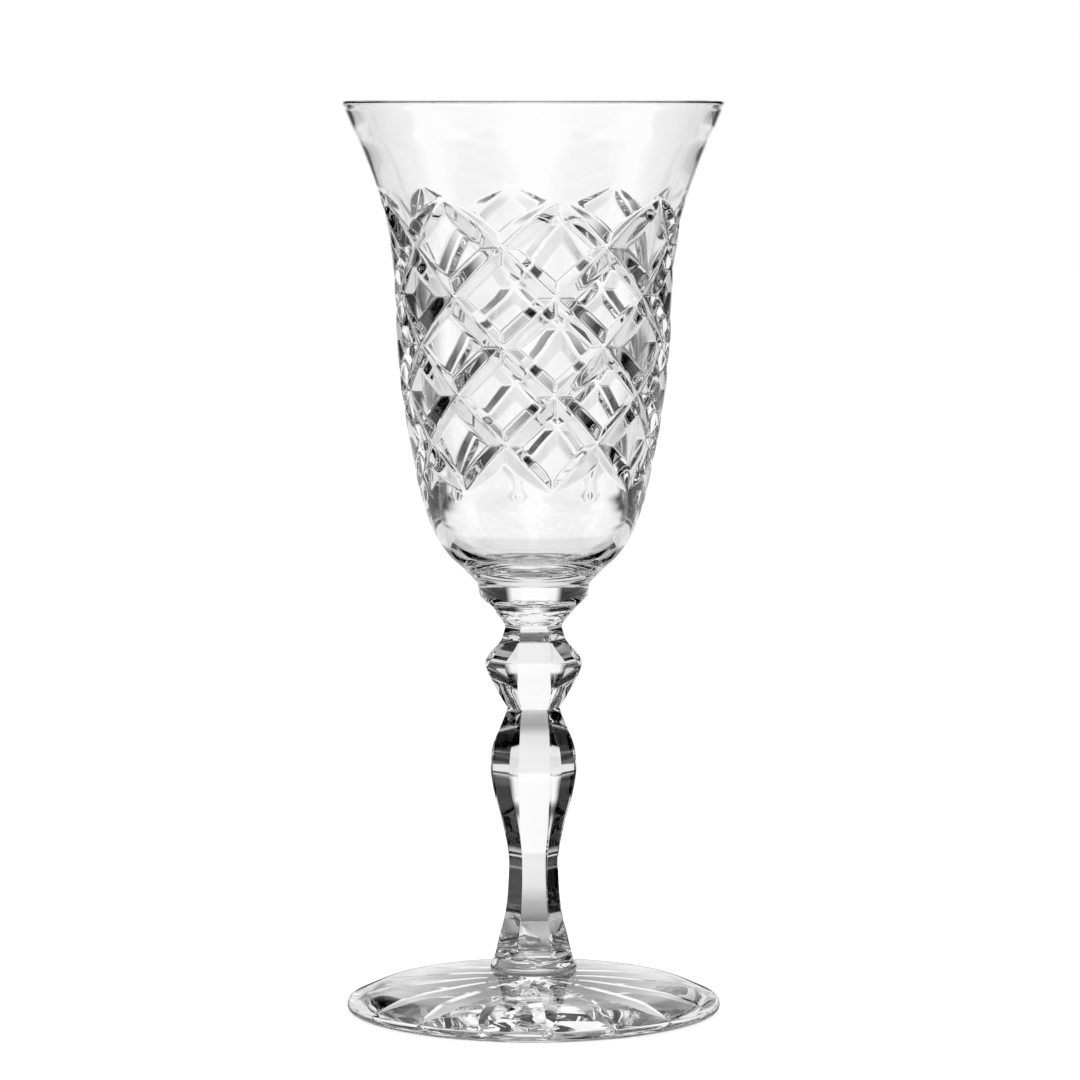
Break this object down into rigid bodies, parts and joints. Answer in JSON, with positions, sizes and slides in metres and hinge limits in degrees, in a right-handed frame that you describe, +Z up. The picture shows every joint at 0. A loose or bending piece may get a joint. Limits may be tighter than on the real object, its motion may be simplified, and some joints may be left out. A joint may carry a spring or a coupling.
{
  "type": "cordial glass",
  "caption": "Small stemmed cordial glass in cut crystal: flared bowl with a mitre-cut diamond lattice, faceted knop and baluster stem, star-cut foot.",
  "frame": {"origin": "centre of the foot's underside, on the surface the glass stands on", "axes": "+Z up along the axis of the glass; the front of the pictured view is -Y"},
  "size_m": [0.05, 0.05, 0.12],
  "materials": {
    "crystal": "polished"
  },
  "bodies": {
    "root": {"bowl": "crystal", "merese": "crystal", "knop": "crystal", "baluster_stem": "crystal", "foot": "crystal"}
  },
  "joints": []
}
